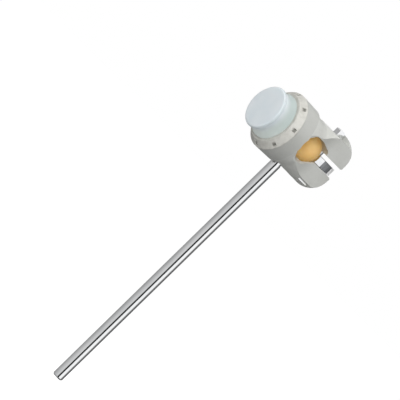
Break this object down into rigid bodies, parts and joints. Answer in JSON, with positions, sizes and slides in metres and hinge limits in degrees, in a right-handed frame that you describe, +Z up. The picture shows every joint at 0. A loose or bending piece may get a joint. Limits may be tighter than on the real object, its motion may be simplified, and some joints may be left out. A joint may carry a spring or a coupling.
{
  "type": "bass drum beater",
  "caption": "Bass drum beater with a chrome shaft, a grey forked head holding an amber ball and a plated weight, and a translucent striking cap.",
  "frame": {"origin": "on the shaft's axis at the lower end of its straight wall", "axes": "+Z up the shaft to the head, -Y the way the beater strikes, +X to the right of the strike"},
  "size_m": [0.0458, 0.0762, 0.2511],
  "materials": {
    "shaft_chrome": "bright plating",
    "insert_brass": "turned",
    "housing_plastic": "satin moulded",
    "damper_rubber": "matte",
    "strike_plastic": "turned",
    "cap_milky": "milky, slightly translucent",
    "ring_plastic": "satin moulded",
    "ball_amber": "satin",
    "weight_chrome": "bright plating",
    "plate_steel": "bright zinc",
    "bolt_chrome": "bright plating"
  },
  "bodies": {
    "head": {"shaft": "shaft_chrome", "shaft_insert": "insert_brass", "housing": "housing_plastic", "damper_washer": "damper_rubber", "strike_plate": "strike_plastic", "core_ball": "ball_amber", "nut_plate": "plate_steel"},
    "cap": {"striking_cap": "cap_milky"},
    "ring": {"retaining_ring": "ring_plastic"},
    "washer": {"bolt_washer": "plate_steel"},
    "bolt": {"key_bolt": "bolt_chrome"},
    "weight": {"balance_weight": "weight_chrome"}
  },
  "joints": [
    {"name": "cap_slide", "type": "slide", "parent": "head", "child": "cap", "axis": [0, -1, 0], "range_m": [0, 0.005]},
    {"name": "ring_turn", "type": "hinge", "parent": "cap", "child": "ring", "pos_m": [0, -0.0256, 0.225], "axis": [0, -1, 0], "range_deg": [0, 900]},
    {"name": "bolt_lift", "type": "slide", "parent": "head", "child": "washer", "axis": [0, 0, 1], "range_m": [0, 0.004]},
    {"name": "bolt_turn", "type": "hinge", "parent": "washer", "child": "bolt", "pos_m": [0, 0.0192, 0.2455], "axis": [0, 0, 1], "range_deg": [0, 1800]},
    {"name": "weight_slide", "type": "slide", "parent": "head", "child": "weight", "axis": [0, 1, 0], "range_m": [0, 0.015]}
  ],
  "couplings": [
    {"joint": "cap_slide", "follows": "ring_turn", "m_per_rad": 0.0003183},
    {"joint": "bolt_turn", "follows": "bolt_lift", "rad_per_m": 7854}
  ]
}
